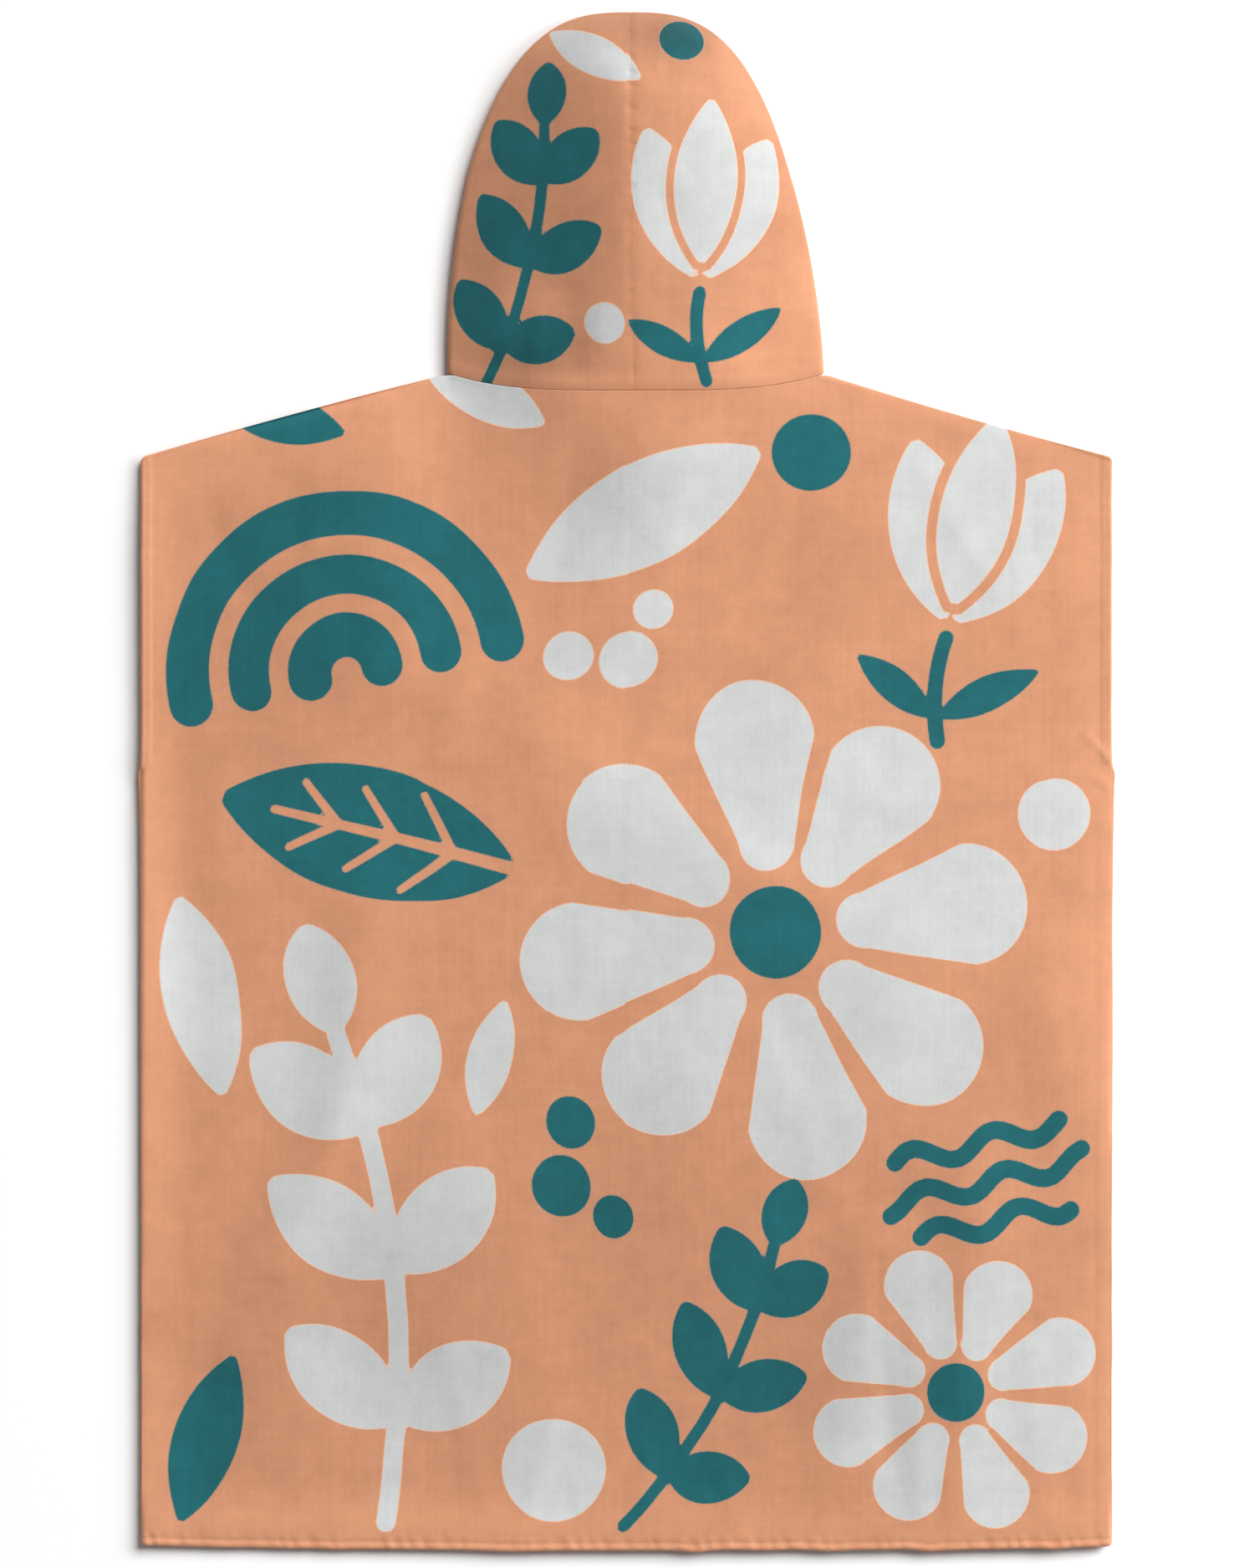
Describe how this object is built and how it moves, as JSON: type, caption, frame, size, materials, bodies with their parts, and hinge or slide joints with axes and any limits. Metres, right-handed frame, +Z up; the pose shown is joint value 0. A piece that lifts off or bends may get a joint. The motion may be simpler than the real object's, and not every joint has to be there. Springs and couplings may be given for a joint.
{
  "type": "hooded bath poncho",
  "caption": "Hooded bath poncho of printed towelling, laid flat on its front: a wide body panel back and front, hemmed armholes and a domed hood with a centre seam.",
  "frame": {"origin": "centre of the garment's bounding box, on the plane that it lies on", "axes": "+Y from the hem to the hood's crown, +X towards the wearer's right, +Z up off the surface, out of the garment's back"},
  "size_m": [0.8016, 1.265, 0.0521],
  "materials": {
    "front_panel_towelling": "sheared velour towelling, printed",
    "back_panel_towelling": "sheared velour towelling, printed",
    "hood_left_towelling": "sheared velour towelling, printed",
    "hood_right_towelling": "sheared velour towelling, printed"
  },
  "bodies": {
    "root": {"front_panel": "front_panel_towelling", "back_panel": "back_panel_towelling", "hood_left": "hood_left_towelling", "hood_right": "hood_right_towelling"}
  },
  "joints": []
}
